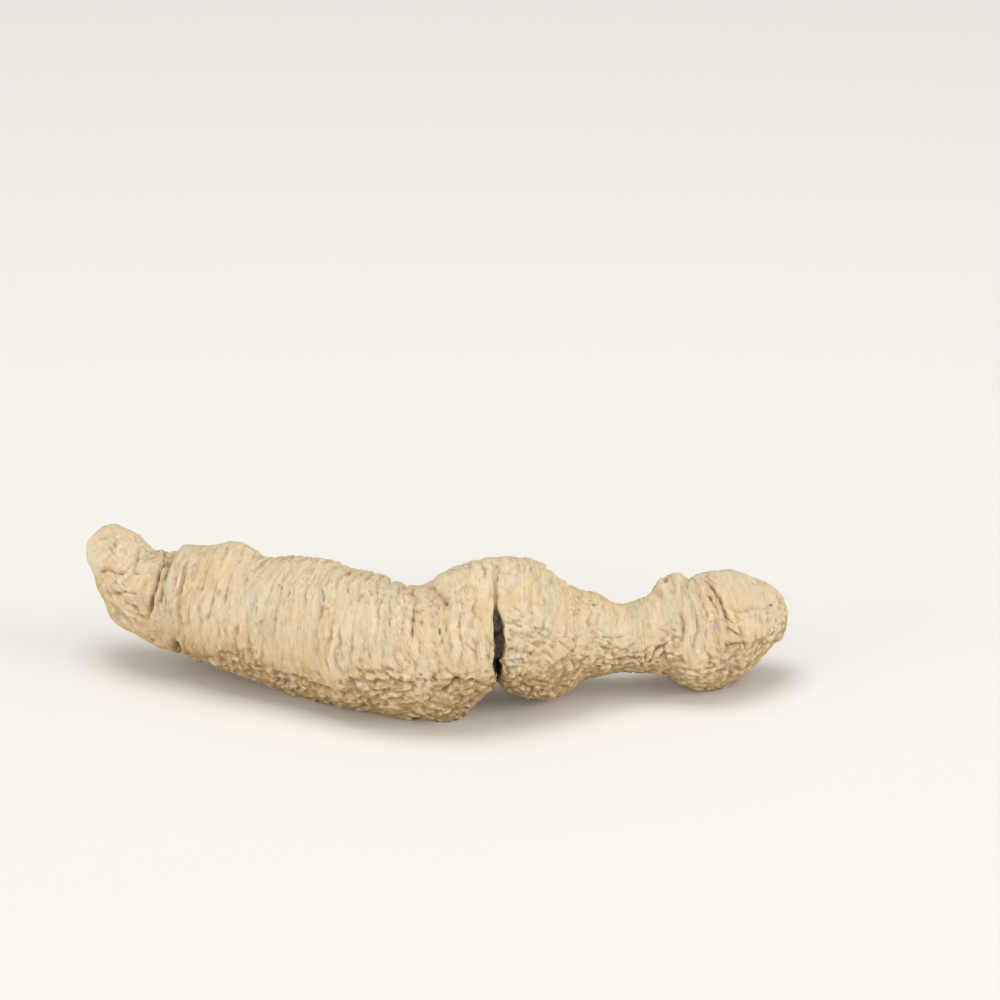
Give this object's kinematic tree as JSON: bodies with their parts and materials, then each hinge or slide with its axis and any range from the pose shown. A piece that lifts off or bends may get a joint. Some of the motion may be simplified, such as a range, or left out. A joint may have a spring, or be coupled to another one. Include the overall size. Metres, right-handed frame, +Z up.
{
  "type": "morinda root",
  "caption": "Dried morinda root: a bent, blunt root with rings of wrinkles, a deep crack across its waist, a thin neck and a round knob, lying on a surface.",
  "frame": {"origin": "on the surface that the root lies on, under the middle of the root's box", "axes": "+X along the root from its narrow, turned-up end to its round knob, +Y towards its back (the inside of its bend), +Z up"},
  "size_m": [0.0892, 0.031, 0.0193],
  "materials": {
    "bark": "matt, dry and wrinkled, pale tan with brown furrows"
  },
  "bodies": {
    "root": {"morinda_root": "bark"}
  },
  "joints": []
}
